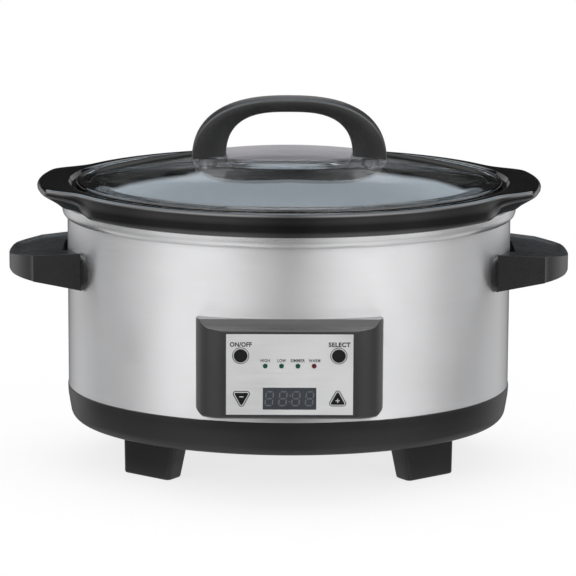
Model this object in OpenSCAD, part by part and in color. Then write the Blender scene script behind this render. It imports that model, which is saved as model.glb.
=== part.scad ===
// Oval programmable slow cooker: steel wall, stoneware crock, glass lid, front control panel.
// Frame: ground at z = 0, oval centre on the z axis, front towards -y, millimetres.
// Round-the-oval profiles are drawn as [outward offset from the steel wall, height].

/* [Body] */
// width of the steel wall, side to side
body_width = 332; // [322:1:342]
// depth of the steel wall, front to back
body_depth = 260; // [252:1:268]
// height of the base seam above the ground
seam_z = 57.7; // [54:0.1:60]
// height of the seam under the collar ring
collar_seam_z = 186.5; // [180:0.5:192]
// how far the collar ring stands out of the wall
collar_out = 4; // [2:0.5:5]
// thickness of the steel wall
sheet = 0.7; // [0.5:0.1:1.2]

/* [Crock] */
// height of the rim's top face
crock_top_z = 212.6; // [210:0.2:214]
// height of the crock's underside
crock_floor_z = 70; // [69:0.5:76]
// thickness of the stoneware wall
crock_wall = 7.5; // [6:0.5:8]
// distance from the oval's centre to a lug's tip
lug_reach = 188.5; // [182:0.5:196]

/* [Lid] */
// thickness of the glass
glass = 4; // [3:0.5:5]
// height of the dome's crown above the lid's flat rim
dome_rise = 17.5; // [14:0.1:24]
// top of the lid handle above the ground
lid_handle_top = 275.4; // [268:0.2:290]
// half the span of the lid handle
lid_handle_half = 73.2; // [66:0.5:76]
// depth of the lid handle, front to back
lid_handle_depth = 24; // [18:0.5:30]

/* [Side handles] */
// distance from the oval's centre to a side handle's tip
handle_reach = 210; // [204:0.5:216]
// half the width of a side handle
handle_half = 53; // [48:0.5:56]

/* [Panel] */
// half the width of the panel housing
bezel_half = 67.9; // [66:0.1:70]
// how far the panel's face stands in front of the oval's centre
bezel_front = 140; // [139:0.5:142]
// width of the silver faceplate
plate_width = 91.7; // [88:0.1:94]
// height of the silver faceplate
plate_height = 59.8; // [56:0.1:61]

/* [Base] */
// height of the base's underside above the ground
base_z = 31; // [28:0.5:32]
// radius of the base's lower edge
base_round = 8.6; // [6:0.2:10]

/* [Hidden] */
$fn = 96;
fine = 40;
half_w = body_width / 2;
half_d = body_depth / 2;

// The oval is four tangent arcs: two round the ends, two along the sides.
end_r = 112;
side_r = (pow(half_w - end_r, 2) + half_d * half_d - end_r * end_r) / (2 * (half_d - end_r));
end_c = half_w - end_r;
side_c = side_r - half_d;

collar_top = collar_seam_z + 10.7;
flange_z = collar_top - 0.8;
lip_z = collar_top - 1.9;
ledge_z = crock_top_z - 3.4;
lid_rim_z = crock_top_z + 0.9;
liner_floor = crock_floor_z - 4;
liner_t = 0.8;
face_y = -bezel_front;
recess_y = face_y + 0.8;
wall_back_y = face_y + 2.2;
board_y = face_y + 8.4;
plate_z = 96.2;
button_x = 35.3;
button_z = 110.1;
arrow_x = 34.7;
arrow_z = 77.4;
lamp_z = 102.6;
lamp_x = [-17.6, -5.9, 5.9, 17.6];
window_z = 78.4;
window_w = 38.4;
window_h = 16.1;
leg_x = 60.5;
washer_z = lid_rim_z + dome_rise - 8.2;
handle_z = 152;
handle_screw_y = 30;
gland_z = 47;
gland_bore = 3.6;
foot_corner = [91.6, 79.3];
foot_turn = 37;
post_at = [75, 35];
board_posts = [[45, -77], [45, -25]];

// Points of an arc, for profiles.
function arc(c, r, from, to, steps = 6) =
  [for (i = [0:steps]) c + r * [cos(from + (to - from) * i / steps), sin(from + (to - from) * i / steps)]];

// Sweep a profile round the oval. $reach is the distance from the profile's zero to the arc's axis.
module round_oval() {
  for (turn = [0, 180]) rotate(turn) {
    intersection() {
      translate([end_c, 0, 0]) rotate_extrude() translate([end_r, 0]) let ($reach = end_r) children();
      end_wedge();
    }
    intersection() {
      translate([0, -side_c, 0]) rotate_extrude() translate([side_r, 0]) let ($reach = side_r) children();
      side_wedge();
    }
  }
}

module end_wedge() {
  translate([0, 0, -10]) linear_extrude(400)
    polygon([[end_c, 0], [5 * end_c, 4 * side_c], [5 * end_c, -4 * side_c]]);
}

module side_wedge() {
  translate([0, 0, -10]) linear_extrude(400)
    polygon([[end_c, 0], [5 * end_c, 4 * side_c], [-5 * end_c, 4 * side_c], [-end_c, 0]]);
}

module mirrored_x() {
  children();
  mirror([1, 0, 0]) children();
}

module four_corners() {
  mirrored_x() {
    children();
    mirror([0, 1, 0]) children();
  }
}

// A cylinder lying along y from y0 to y1.
module pin_y(x, z, r, y0, y1) {
  translate([x, y0, z]) rotate([-90, 0, 0]) cylinder(r = r, h = y1 - y0, $fn = fine);
}

// A cylinder lying along x from x0 to x1.
module pin_x(y, z, r, x0, x1) {
  translate([x0, y, z]) rotate([0, 90, 0]) cylinder(r = r, h = x1 - x0, $fn = fine);
}

module post(x, y, r, z0, z1) {
  translate([x, y, z0]) cylinder(r = r, h = z1 - z0, $fn = fine);
}

// ---------------------------------------------------------------- steel wall and collar

module outer_shell() {
  color([0.78, 0.78, 0.79]) difference() {
    round_oval() translate([-sheet, seam_z]) square([sheet, flange_z - seam_z]);
    panel_window();
    mirrored_x() for (y = [-handle_screw_y, handle_screw_y]) pin_x(y, handle_z, 2.6, 140, 180);
    for (x = [-56, 56], z = [76, 122]) pin_y(x, z, 2, -134, -110);
  }
}

// The opening behind the panel, for the board's parts and its cable.
module panel_window() {
  translate([-34, -140, 68]) cube([68, 30, 56.5]);
}

module collar_ring() {
  c = collar_out;
  z = collar_seam_z;
  outer = [[0.1, z], [1.2, z + 0.6], [2.3, z + 1.6], [3.2, z + 2.8], [3.8, z + 4.3], [4, z + 6]];
  inner = [[3.3, z + 6.2], [3.1, z + 4.7], [2.6, z + 3.4], [1.8, z + 2.4], [0.9, z + 1.6], [0.1, z + 1.2]];
  color([0.8, 0.8, 0.81]) round_oval() polygon(concat(
    [for (p = outer) [p[0] * c / 4, p[1]]],
    arc([c - 1, collar_top - 1], 1, 0, 90, 4),
    [[-12.6, collar_top], [-12.6, flange_z], [c - 1.1, flange_z], [c - 0.8, flange_z - 0.4]],
    [for (p = inner) [p[0] * c / 4, p[1]]]
  ));
}

// ---------------------------------------------------------------- heating well

// The well's outer face at height z, plus out.
function liner_side(z, out = 0.02) = -14.7 + 2.5 * (z - 80) / (flange_z - 81.2) + out;

module liner_pot() {
  r = 14;
  z = liner_floor;
  color([0.62, 0.63, 0.64]) round_oval() polygon(concat(
    [[-3, flange_z], [-12, flange_z], [-12.9, flange_z - 0.9]],
    arc([-15.5 - r, z + r], r, 0, -90, 6),
    [[-$reach, z], [-$reach, z - liner_t]],
    arc([-15.5 - r, z + r], r + liner_t, -90, 0, 6),
    [[-12.2, flange_z - 1.2], [-11.8, flange_z - liner_t], [-3, flange_z - liner_t]]
  ));
}

module heat_shield() {
  color([0.72, 0.73, 0.74]) difference() {
    round_oval() polygon([[-8.4, 64.2], [-1.2, 64.2], [-1.2, 64.6], [-8, 64.6], [-8, 184], [-8.4, 184]]);
    translate([-18, -140, 60]) cube([36, 17.8, 10]);
  }
}

module heat_band() {
  color([0.84, 0.82, 0.76]) {
    round_oval() polygon([
      [liner_side(84), 84], [liner_side(84, 2.2), 84], [liner_side(124, 2.2), 124], [liner_side(124), 124]
    ]);
    mirrored_x() translate([-145, -48, 80]) cube([2.8, 6, 7]);
  }
}

module heater_straps() {
  color([0.7, 0.71, 0.72]) for (z = [88, 112]) difference() {
    union() {
      round_oval() polygon([
        [liner_side(z, 2.2), z], [liner_side(z, 2.7), z], [liner_side(z + 8, 2.7), z + 8], [liner_side(z + 8, 2.2), z + 8]
      ]);
      for (x = [-6, 4.8]) translate([x, half_d + liner_side(z + 8, 2.25), z]) cube([1.2, 3, 8]);
    }
    pin_x(120, z + 4, 1, -8, 8);
  }
}

module strap_screws() {
  color([0.75, 0.75, 0.76]) for (z = [92, 116]) {
    pin_x(120, z, 0.9, -8, 8);
    pin_x(120, z, 1.3, -7.5, -6.1);
    translate([6.1, 120, z]) rotate([0, 90, 0]) cylinder(r = 1.3, h = 1.4, $fn = 6);
  }
}

// ---------------------------------------------------------------- base

module base_pan() {
  color([0.13, 0.13, 0.135]) difference() {
    union() {
      round_oval() base_profile();
      for (p = board_posts) mirrored_x() post(p[0], p[1], 3.6, base_z + 2, 38);
      four_corners() post(post_at[0], post_at[1], 5.5, base_z + 2, 53.2);
      four_corners() foot_place() post(19.5, 8.5, 4.6, base_z + 2, 42);
      for (x = [-19, 19]) post(x, 20, 3.4, base_z + 2, 37);
    }
    for (p = board_posts) mirrored_x() post(p[0], p[1], 1.4, base_z + 2.4, 40);
    four_corners() {
      post(post_at[0], post_at[1], 2.3, base_z - 1, 60);
      post(post_at[0], post_at[1], 4.6, base_z - 1, base_z + 4);
    }
    four_corners() foot_place() post(19.5, 8.5, 1.8, base_z - 1, 40.5);
    for (x = [-19, 19]) post(x, 20, 1.4, base_z + 2.4, 39);
    for (x = [-40:10:40]) base_slot(x, -52, 34);
    for (x = [-40:10:40]) base_slot(x, 62, 34);
    gland_prism(6.6, half_d - 8, half_d + 6);
  }
}

module base_profile() {
  c = [-1.6 - base_round, base_z + base_round];
  polygon(concat(
    [[-0.9, seam_z], [0.6, seam_z], [0.6, seam_z - 1.7], [0.2, seam_z - 7.7], [-0.7, seam_z - 14]],
    arc(c, base_round, 0, -90, 8),
    [[-$reach, base_z], [-$reach, base_z + 2.6]],
    arc(c, base_round - 2.6, -90, 0, 6),
    [[-3.4, seam_z - 8], [-3.4, 64], [-0.9, 64]]
  ));
}

module base_slot(x, y, length) {
  translate([x - 1.5, y - length / 2, base_z - 1]) cube([3, length, 6]);
}

// Put a foot's own axes (along its outer face, then inwards) on the right-hand rear corner.
module foot_place() {
  translate([foot_corner[0], foot_corner[1], 0]) rotate(-foot_turn) mirror([0, 1, 0]) children();
}

module foot_block() {
  top = base_z;
  hull() {
    for (p = [[1, 4.5], [36, 4], [36, 14], [1, 13.5]]) translate([p[0], p[1], 0.8]) cylinder(r = 4, h = 0.5, $fn = 24);
    for (p = [[-5.6, 4], [36.2, 3.6], [36.2, 15], [-5.6, 14.5]]) translate([p[0], p[1], top - 0.5]) cylinder(r = 4, h = 0.5, $fn = 24);
  }
}

module feet() {
  color([0.12, 0.12, 0.125]) four_corners() foot_place() difference() {
    foot_block();
    translate([4, 4.2, 6]) cube([9.6, 9.6, 40]);
    translate([25.4, 4.2, 6]) cube([9.6, 9.6, 40]);
    translate([3.6, 3.6, -1]) cube([33, 11.2, 3]);
    post(19.5, 8.5, 4.2, 0, 20);
    post(19.5, 8.5, 2.2, 19, 40);
  }
}

module foot_screws() {
  color([0.72, 0.72, 0.73]) four_corners() foot_place() {
    post(19.5, 8.5, 3.6, 17, 20);
    post(19.5, 8.5, 1.8, 20, 40);
  }
}

module foot_pads() {
  color([0.1, 0.1, 0.1]) four_corners() foot_place() translate([3.8, 3.8, 0]) cube([32.6, 10.8, 2]);
}

module liner_brackets() {
  top = liner_floor - liner_t;
  color([0.66, 0.67, 0.68]) four_corners() difference() {
    union() {
      translate([post_at[0] - 8, post_at[1] - 7, 54]) cube([16, 14, 1.2]);
      translate([post_at[0] + 6.8, post_at[1] - 7, 54]) cube([1.2, 14, top - 54]);
      translate([post_at[0] - 8, post_at[1] - 7, top - 1.2]) cube([16, 14, 1.2]);
    }
    post(post_at[0], post_at[1], 2, 50, 58);
  }
}

module floor_deflector() {
  color([0.74, 0.75, 0.76]) difference() {
    translate([-84, -78, 53.2]) cube([168, 124, 0.8]);
    four_corners() post(post_at[0], post_at[1], 2.3, 50, 58);
    translate([-28, -28, 50]) cube([56, 56, 8]);
  }
}

module base_screws() {
  color([0.72, 0.72, 0.73]) four_corners() {
    post(post_at[0], post_at[1], 4, base_z + 1.2, base_z + 4);
    post(post_at[0], post_at[1], 2, base_z + 4, 58);
  }
}

// An eight-sided prism along y where the cord comes in.
module gland_prism(r, y0, y1) {
  translate([0, y1, gland_z]) rotate([90, 0, 0]) rotate(22.5) cylinder(r = r, h = y1 - y0, $fn = 8);
}

module cord_gland() {
  y = half_d;
  color([0.09, 0.09, 0.09]) difference() {
    union() {
      gland_prism(6.5, y - 9, y + 3.5);
      gland_prism(8.6, y + 0.65, y + 2.6);
      gland_prism(8.2, y - 6.5, y - 4.5);
    }
    pin_y(0, gland_z, gland_bore, y - 12, y + 8);
  }
}

// ---------------------------------------------------------------- side handles

module side_handle() {
  step_x = 189.5;
  chord = handle_half - 1.2;
  rise = handle_reach - step_x;
  r = (chord * chord + rise * rise) / (2 * rise);
  difference() {
    union() {
      intersection() {
        union() {
          translate([140, -handle_half, 120]) cube([step_x - 140, 2 * handle_half, 60]);
          intersection() {
            translate([handle_reach - r, 0, 120]) cylinder(r = r, h = 60);
            translate([step_x - 1, -chord, 120]) cube([40, 2 * chord, 60]);
          }
        }
        translate([0, 80, 0]) rotate([90, 0, 0]) linear_extrude(160) handle_side(0);
      }
      for (y = [-1, 1]) pin_x(y * (handle_half - 4.9), handle_z, 13.9, 140, 153.9);
    }
    translate([end_c, 0, 120]) cylinder(r = end_r + 0.05, h = 60);
    translate([153.7, -handle_half, 167]) rotate([-2.4, 2.4, 0]) translate([-60, 0, 0]) cube([140, 160, 40]);
    finger_pocket(r);
    for (y = [-handle_screw_y, handle_screw_y]) pin_x(y, handle_z, 2, 140, 173);
    translate([158, -18, 120]) cube([14, 36, 41]);
  }
}

// The handle seen from the front, as [x, z].
module handle_side(inset) {
  i = inset;
  polygon([
    [130, 137.6], [153, 138.2], [189.5, 145.4], [handle_reach - 2.8, 146.6], [handle_reach, 148.6],
    [handle_reach, 157.4 - i], [handle_reach - 3.5, 160.4 - i], [200, 162.8 - i], [189.5, 164.9 - i],
    [153.7, 166.4 - i], [130, 167 - i]
  ]);
}

// The hollow under the grip that fingers go into.
module finger_pocket(r) {
  intersection() {
    translate([handle_reach - r, 0, 120]) cylinder(r = r - 7, h = 60);
    translate([177, -handle_half + 9, 120]) cube([40, 2 * handle_half - 18, 60]);
    translate([0, 80, -20]) rotate([90, 0, 0]) linear_extrude(160) handle_side(-14);
  }
}

module side_handle_left() {
  color([0.16, 0.16, 0.165]) mirror([1, 0, 0]) side_handle();
}

module side_handle_right() {
  color([0.16, 0.16, 0.165]) side_handle();
}

module handle_plates() {
  color([0.68, 0.69, 0.7]) mirrored_x() difference() {
    intersection() {
      round_oval() translate([-sheet - 1.2, handle_z - 9]) square([1.2, 18]);
      translate([100, -42, 100]) cube([80, 84, 80]);
    }
    for (y = [-handle_screw_y, handle_screw_y]) pin_x(y, handle_z, 2.6, 140, 180);
  }
}

module handle_screws() {
  color([0.72, 0.72, 0.73]) mirrored_x() for (y = [-handle_screw_y, handle_screw_y]) {
    pin_x(y, handle_z, 4, 156.1, 158.5);
    pin_x(y, handle_z, 2, 158.5, 172);
  }
}

// ---------------------------------------------------------------- control panel

// The housing's section in front of y = -120, as [forward, height].
module bezel_section(inset) {
  d = bezel_front - 120 - inset;
  i = inset;
  polygon(concat(
    [[0, 62.8 + i], [d - 3, 62.8 + i], [d - 1, 63.3 + i], [d, 64.6 + i]],
    inset == 0 ? [[d, 134.8], [0, 134.8]] : [for (p = scoop()) [p[0] - i * 0.8, p[1] - i]],
    [[0, 134.8 - i]]
  ));
}

// The hollow along the housing's top edge, from its front lip to the wall.
function scoop() = let (d = bezel_front - 120) [
  [d, 127.8], [d - 0.5, 128.7], [d - 1.5, 129.1], [d - 3.3, 129.4], [d - 5.4, 130.4], [d - 7.3, 132], [d - 8.8, 133.6],
  [d - 10, 134.8]
];

module bezel_form(inset) {
  side = bezel_half - 20;
  mirrored_x() translate([side, -120, 0]) rotate_extrude() bezel_section(inset);
  translate([-side, -120, 0]) rotate([90, 0, 90]) linear_extrude(2 * side) mirror([1, 0]) bezel_section(inset);
}

// The housing's outline from the front: lower corners cut off, upper corners eased.
module bezel_outline() {
  w = bezel_half + 1;
  translate([0, -100, 0]) rotate([90, 0, 0]) linear_extrude(60)
    polygon([
      [-w, 68.5], [-62.4, 62.6], [-50, 60], [50, 60], [62.4, 62.6], [w, 68.5],
      [w, 133], [w - 1.6, 134], [w - 3, 135], [3 - w, 135], [1.6 - w, 134], [-w, 133]
    ]);
}

module panel_bezel() {
  color([0.2, 0.2, 0.205]) difference() {
    union() {
      intersection() {
        difference() {
          bezel_form(0);
          bezel_form(2.2);
          translate([-100, -120, 0]) rotate([90, 0, 90]) linear_extrude(200) mirror([1, 0])
            polygon(concat(scoop(), [[10, 140], [40, 140], [40, 127.8]]));
          translate([-bezel_half + 2.2, -120.5, 66]) cube([2 * bezel_half - 4.4, 30, 65]);
        }
        bezel_outline();
      }
      for (x = [-40, 40]) pin_y(x, 94, 2.8, wall_back_y - 0.5, board_y);
      for (x = [-22, 22]) pin_y(x, 120, 2.8, wall_back_y - 0.5, board_y);
      for (x = [-56, 56], z = [76, 122]) pin_y(x, z, 4, -135.4, -118);
    }
    translate([0, side_c, 50]) cylinder(r = side_r + 0.05, h = 100);
    translate([-plate_width / 2, face_y - 1, plate_z - plate_height / 2]) cube([plate_width, 1.8, plate_height]);
    panel_openings(5, 1.75, 1.1, 0.8);
    for (x = [-40, 40]) pin_y(x, 94, 1.1, board_y - 4, board_y + 1);
    for (x = [-22, 22]) pin_y(x, 120, 1.1, board_y - 4, board_y + 1);
    for (x = [-56, 56], z = [76, 122]) pin_y(x, z, 1.6, -133, -110);
  }
}

// Openings for the round buttons, lamps, arrow buttons and display.
module panel_openings(round_r, lamp_r, arrow_ease, window_inset) {
  w = window_w - 2 * window_inset;
  h = window_h - 2 * window_inset;
  for (x = [-button_x, button_x]) pin_y(x, button_z, round_r, face_y - 2, face_y + 4);
  for (x = lamp_x) pin_y(x, lamp_z, lamp_r, face_y - 2, face_y + 4);
  for (s = [-1, 1]) arrow_block(s, arrow_ease, face_y - 2, face_y + 4);
  translate([-w / 2, face_y - 2, window_z - h / 2]) cube([w, 6, h]);
}

// A rounded triangle, pointing down on the left (side -1) and up on the right (side 1).
module arrow_block(side, ease, y0, y1) {
  points = [for (k = [0:2]) each arc(4.7 * [cos(90 + 120 * k), 1.06 * sin(90 + 120 * k)], ease, 30 + 120 * k, 150 + 120 * k, 4)];
  translate([side * arrow_x, y1, arrow_z + 1 - side]) rotate([90, 0, 0]) rotate(90 - 90 * side)
    linear_extrude(y1 - y0) polygon(points);
}

module panel_screws() {
  color([0.72, 0.72, 0.73]) for (x = [-56, 56], z = [76, 122]) {
    pin_y(x, z, 3.4, -120.2, -118);
    pin_y(x, z, 1.6, -131, -120.2);
  }
}

module faceplate() {
  color([0.81, 0.81, 0.81]) difference() {
    translate([-plate_width / 2 + 0.1, face_y + 0.05, plate_z - plate_height / 2 + 0.1])
      cube([plate_width - 0.2, 0.75, plate_height - 0.2]);
    panel_openings(6, 1.75, 1.75, -0.1);
  }
}

module button_trims() {
  color([0.86, 0.86, 0.86]) {
    for (x = [-button_x, button_x]) difference() {
      pin_y(x, button_z, 5.6, face_y - 0.25, recess_y);
      pin_y(x, button_z, 5, face_y - 2, face_y + 4);
    }
    for (s = [-1, 1]) difference() {
      arrow_block(s, 1.45, face_y - 0.25, recess_y);
      arrow_block(s, 0.9, face_y - 2, face_y + 4);
    }
  }
}

module round_button(x) {
  pin_y(x, button_z, 4.7, face_y - 1, wall_back_y + 0.5);
  pin_y(x, button_z, 6.2, wall_back_y + 0.3, wall_back_y + 0.9);
}

module arrow_button(side) {
  arrow_block(side, 0.5, face_y - 0.9, wall_back_y + 0.5);
  arrow_block(side, 1.9, wall_back_y + 0.3, wall_back_y + 0.9);
}

module onoff_button() {
  color([0.1, 0.1, 0.11]) round_button(-button_x);
}

module select_button() {
  color([0.1, 0.1, 0.11]) round_button(button_x);
}

module minus_button() {
  color([0.11, 0.11, 0.12]) arrow_button(-1);
}

module plus_button() {
  color([0.11, 0.11, 0.12]) arrow_button(1);
}

module display_window() {
  color([0.23, 0.24, 0.26]) translate([-window_w / 2, face_y + 0.05, window_z - window_h / 2])
    cube([window_w, 0.75, window_h]);
}

module display_module() {
  color([0.2, 0.2, 0.22]) translate([-18, recess_y + 0.2, window_z - 7])
    cube([36, board_y - recess_y - 0.2, 14]);
}

module lamp_lens(x) {
  pin_y(x, lamp_z, 1.7, face_y - 0.3, board_y - 1.9);
}

module led_lenses_green() {
  color([0.05, 0.32, 0.2]) for (i = [0:2]) lamp_lens(lamp_x[i]);
}

module led_lens_red() {
  color([0.4, 0.1, 0.12]) lamp_lens(lamp_x[3]);
}

module led_lamps() {
  color([0.9, 0.9, 0.82]) for (x = lamp_x) translate([x - 1.1, board_y - 1.5, lamp_z - 0.8]) cube([2.2, 1.5, 1.6]);
}

module control_board() {
  color([0.1, 0.36, 0.2]) difference() {
    translate([-43, board_y, 69]) cube([86, 1.6, 54.5]);
    for (x = [-40, 40]) pin_y(x, 94, 1.3, board_y - 1, board_y + 3);
    for (x = [-22, 22]) pin_y(x, 120, 1.3, board_y - 1, board_y + 3);
  }
}

module control_parts() {
  y = board_y + 1.6;
  color([0.12, 0.12, 0.13]) {
    translate([-6, y, 92]) cube([12, 1.6, 12]);
    translate([14, y, 90]) cube([7, 1.5, 5]);
    translate([-8, y, 74]) cube([16, 3, 7]);
    for (x = [-20, -16]) translate([x, y, 98]) cube([2, 1, 1.2]);
    pin_y(24, 84, 2.5, y, y + 5);
  }
}

module tact_switches() {
  color([0.15, 0.15, 0.16]) {
    for (x = [-button_x, button_x]) tact_switch(x, button_z);
    for (x = [-arrow_x, arrow_x]) tact_switch(x, arrow_z + 1);
  }
}

module tact_switch(x, z) {
  translate([x - 3, board_y - 3.4, z - 3]) cube([6, 3.4, 6]);
  pin_y(x, z, 1.7, board_y - 4.3, board_y - 3);
}

module board_screws() {
  y = board_y + 1.6;
  color([0.72, 0.72, 0.73]) for (p = [[-40, 94], [40, 94], [-22, 120], [22, 120]]) {
    pin_y(p[0], p[1], 2.3, y, y + 1.6);
    pin_y(p[0], p[1], 1.1, y - 4.6, y);
  }
}

// Flat cable from the control board down behind the wall to the power board.
module ribbon_cable() {
  start = board_y + 4.6;
  y = start + 2;
  low = 47.6;
  end = -81;
  color([0.78, 0.78, 0.8]) translate([-7, 0, 0]) rotate([90, 0, 90]) linear_extrude(14)
    polygon(concat(
      arc([start, 76], 2, 90, 0, 4), arc([y + 2.8, low], 2.8, 180, 270, 4), [[end, low - 2.8], [end, low - 3.6]],
      arc([y + 2.8, low], 3.6, 270, 180, 4), arc([start, 76], 1.2, 0, 90, 4)
    ));
}

// ---------------------------------------------------------------- power side, inside the base

module power_board() {
  color([0.45, 0.36, 0.16]) difference() {
    translate([-50, -82, 38]) cube([100, 62, 1.6]);
    for (p = board_posts) mirrored_x() post(p[0], p[1], 1.7, 36, 42);
  }
}

module power_parts() {
  z = 39.6;
  color([0.16, 0.2, 0.3]) {
    translate([-38, -72, z]) cube([24, 20, 11]);
    translate([14, -70, z]) cube([19, 15, 11]);
    post(0, -56, 5, z, z + 11);
    post(0, -40, 3.2, z, z + 9);
    translate([18, -44, z]) cube([16, 6, 10]);
    translate([-10, -81, z]) cube([20, 5.6, 6.4]);
    translate([-12, -32, z]) cube([24, 9, 4]);
    mirrored_x() translate([-49, -50, z]) cube([5, 10, 6]);
  }
}

module power_screws() {
  color([0.72, 0.72, 0.73]) {
    for (p = board_posts) mirrored_x() {
      post(p[0], p[1], 3, 39.6, 41.4);
      post(p[0], p[1], 1.4, 34.4, 39.6);
    }
    for (x = [-19, 19]) {
      post(x, 20, 2.8, 41, 42.8);
      post(x, 20, 1.4, 34.4, 41);
    }
  }
}

module terminal_block() {
  color([0.88, 0.87, 0.82]) difference() {
    union() {
      translate([-14, 13, 37]) cube([28, 14, 14]);
      translate([-23, 16, 37]) cube([46, 8, 4]);
    }
    for (x = [-19, 19]) post(x, 20, 1.7, 36, 43);
    for (x = [-8, 0, 8]) translate([x - 2.4, 16, 47]) cube([4.8, 8, 6]);
  }
}

module temp_sensor() {
  top = liner_floor - liner_t;
  color([0.7, 0.68, 0.6]) {
    translate([-8, -29, top - 0.6]) cube([16, 10, 0.6]);
    post(0, -24, 3.4, top - 5, top - 0.6);
    for (x = [-2, 2]) post(x, -25, 0.8, 43.6, top - 4);
  }
}

module thermal_fuse() {
  top = liner_floor - liner_t;
  color([0.8, 0.78, 0.7]) {
    translate([-9, 17, top - 0.6]) cube([18, 6, 0.6]);
    translate([-7, 18, top - 4.4]) cube([14, 4, 4]);
  }
}

// Insulated leads: block to board, and board to each end of the heating band.
module leads() {
  color([0.55, 0.12, 0.1]) {
    for (x = [-6, 6]) pin_y(x, 42, 1.2, -23, 13);
    mirrored_x() {
      translate([-138, -45, 43]) rotate([0, 90, 0]) cylinder(r = 1.2, h = 89, $fn = fine);
      translate([-138, -45, 49]) rotate([90, 0, 0]) lead_bend();
      translate([-144, -45, 49]) cylinder(r = 1.2, h = 31, $fn = fine);
    }
  }
}

// A quarter bend of a lead, from straight left to straight up.
module lead_bend() {
  intersection() {
    rotate_extrude($fn = 60) translate([6, 0]) circle(r = 1.2, $fn = fine);
    translate([-10, -10, -5]) cube([10, 10, 10]);
  }
}

// ---------------------------------------------------------------- crock

module stoneware_crock() {
  top = crock_top_z;
  bot = crock_floor_z;
  r = 17;
  ri = 20;
  w = crock_wall;
  color([0.06, 0.06, 0.065]) difference() {
    union() {
      round_oval() polygon(concat(
        [[-16.2, collar_top + 0.4]],
        arc([-19.5 - r, bot + 2 + r], r, 0, -90, 6),
        [[-38, bot + 0.6], [-39, bot], [-49, bot], [-50, bot + 1.4], [-$reach, bot + 1.4], [-$reach, bot + 10]],
        arc([-20.5 - w - ri, bot + 10 + ri], ri, -90, 0, 7),
        [[-17 - w, ledge_z - 12], [-21, ledge_z], [-3.6, ledge_z], [-2.6, ledge_z + 0.6], [-1.8, top - 0.9], [-0.7, top]],
        arc([4, top - 2.6], 2.6, 90, 0, 5),
        [[6.7, top - 8], [6.1, lip_z + 2.4], [5.6, lip_z + 0.6], [4.9, lip_z], [4.6, lip_z + 0.4], [4.5, collar_top + 0.4]]
      ));
      mirrored_x() lug();
    }
    round_oval() polygon([
      [-3.6, ledge_z], [-2.6, ledge_z + 0.6], [-1.8, top - 0.9], [-0.7, top], [-0.7, top + 1], [-$reach, top + 1],
      [-$reach, ledge_z]
    ]);
    round_oval() polygon([[-23.4, ledge_z - 8], [-22, ledge_z + 1], [-$reach, ledge_z + 1], [-$reach, ledge_z - 8]]);
  }
}

// Ear at each end of the rim, to lift the crock by.
module lug() {
  top = crock_top_z;
  r = lug_reach - 101.5;
  intersection() {
    translate([101.5, 0, 0]) rotate_extrude() polygon(concat(
      [[50, top], [r - 3.2, top]],
      arc([r - 3.2, top - 3.2], 3.2, 90, 0, 5),
      [[r, top - 4.2], [r - 0.8, top - 5.8], [r - 4, top - 8], [r - 11, top - 11.8], [r - 16, collar_top + 0.4], [50, collar_top + 0.4]]
    ));
    translate([146, -75, collar_top - 5]) cube([60, 150, 40]);
  }
}

// ---------------------------------------------------------------- lid

// The glass's upper face from its edge to the crown, lifted by up.
function lid_line(up = 0) = [
  for (o = [-12.5, -15, -18, -22, -27, -33, -40, -48, -57, -67, -78, -90, -94, -100, -107])
    [o, lid_rim_z + lid_height(o) + up]
];

// Height of the glass above its rim at an inward distance from the seam line: a flat-topped bow.
function lid_height(o) = dome_rise * (1 - pow((o + 107) / 94.5, 2));

// Everything under the glass's upper face, lifted by up.
module under_glass(up) {
  round_oval() polygon(concat(
    lid_line(up), [[-$reach, lid_rim_z + dome_rise + up], [-$reach, lid_rim_z - 30], [-12.5, lid_rim_z - 30]]
  ));
}

module lid_glass() {
  top = lid_line();
  n = len(top);
  color([0.75, 0.8, 0.82, 0.35]) difference() {
    round_oval() polygon(concat(
      [[-7.6, lid_rim_z]], top, [[-$reach, lid_rim_z + dome_rise], [-$reach, lid_rim_z + dome_rise - glass]],
      [for (i = [n - 1:-1:1]) [top[i][0] - (i < 6 ? 1.4 : 0.4), top[i][1] - glass]],
      [[-14, lid_rim_z - glass], [-7.6, lid_rim_z - glass], [-6.2, lid_rim_z - glass + 1.2], [-6.2, lid_rim_z - 1.2]]
    ));
    mirrored_x() post(leg_x, 0, 3, lid_rim_z, lid_rim_z + 40);
  }
}

// Half outline of an arch, as a rounded curve of half span a and height b.
function arch(a, b, z0, power, steps = 28) = [
  for (i = [0:steps]) let (t = 180 * i / steps)
    [a * sign(cos(t)) * pow(abs(cos(t)), power), z0 + b * pow(abs(sin(t)), power)]
];

// The glass seen from the front under one leg of the handle, lifted by up.
function glass_under_leg(up) = [
  for (o = [-107, -100, -94, -90, -78]) [half_w + o, lid_rim_z + lid_height(o) + up]
];

module lid_handle() {
  base = glass_under_leg(1);
  outer = arch(lid_handle_half, lid_handle_top - 226, 226, 2 / 2.75);
  inner = arch(lid_handle_half - 26.2, lid_handle_top - 10.6 - 226, 226, 2 / 3);
  color([0.17, 0.17, 0.175]) difference() {
    translate([0, lid_handle_depth / 2, 0]) rotate([90, 0, 0]) linear_extrude(lid_handle_depth) difference() {
      polygon(outer);
      polygon(inner);
      polygon(concat(base, [[110, 220], [-110, 220]], [for (i = [4:-1:0]) [-base[i][0], base[i][1]]]));
    }
    mirrored_x() post(leg_x, 0, 2, 220, 252);
  }
}

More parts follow.
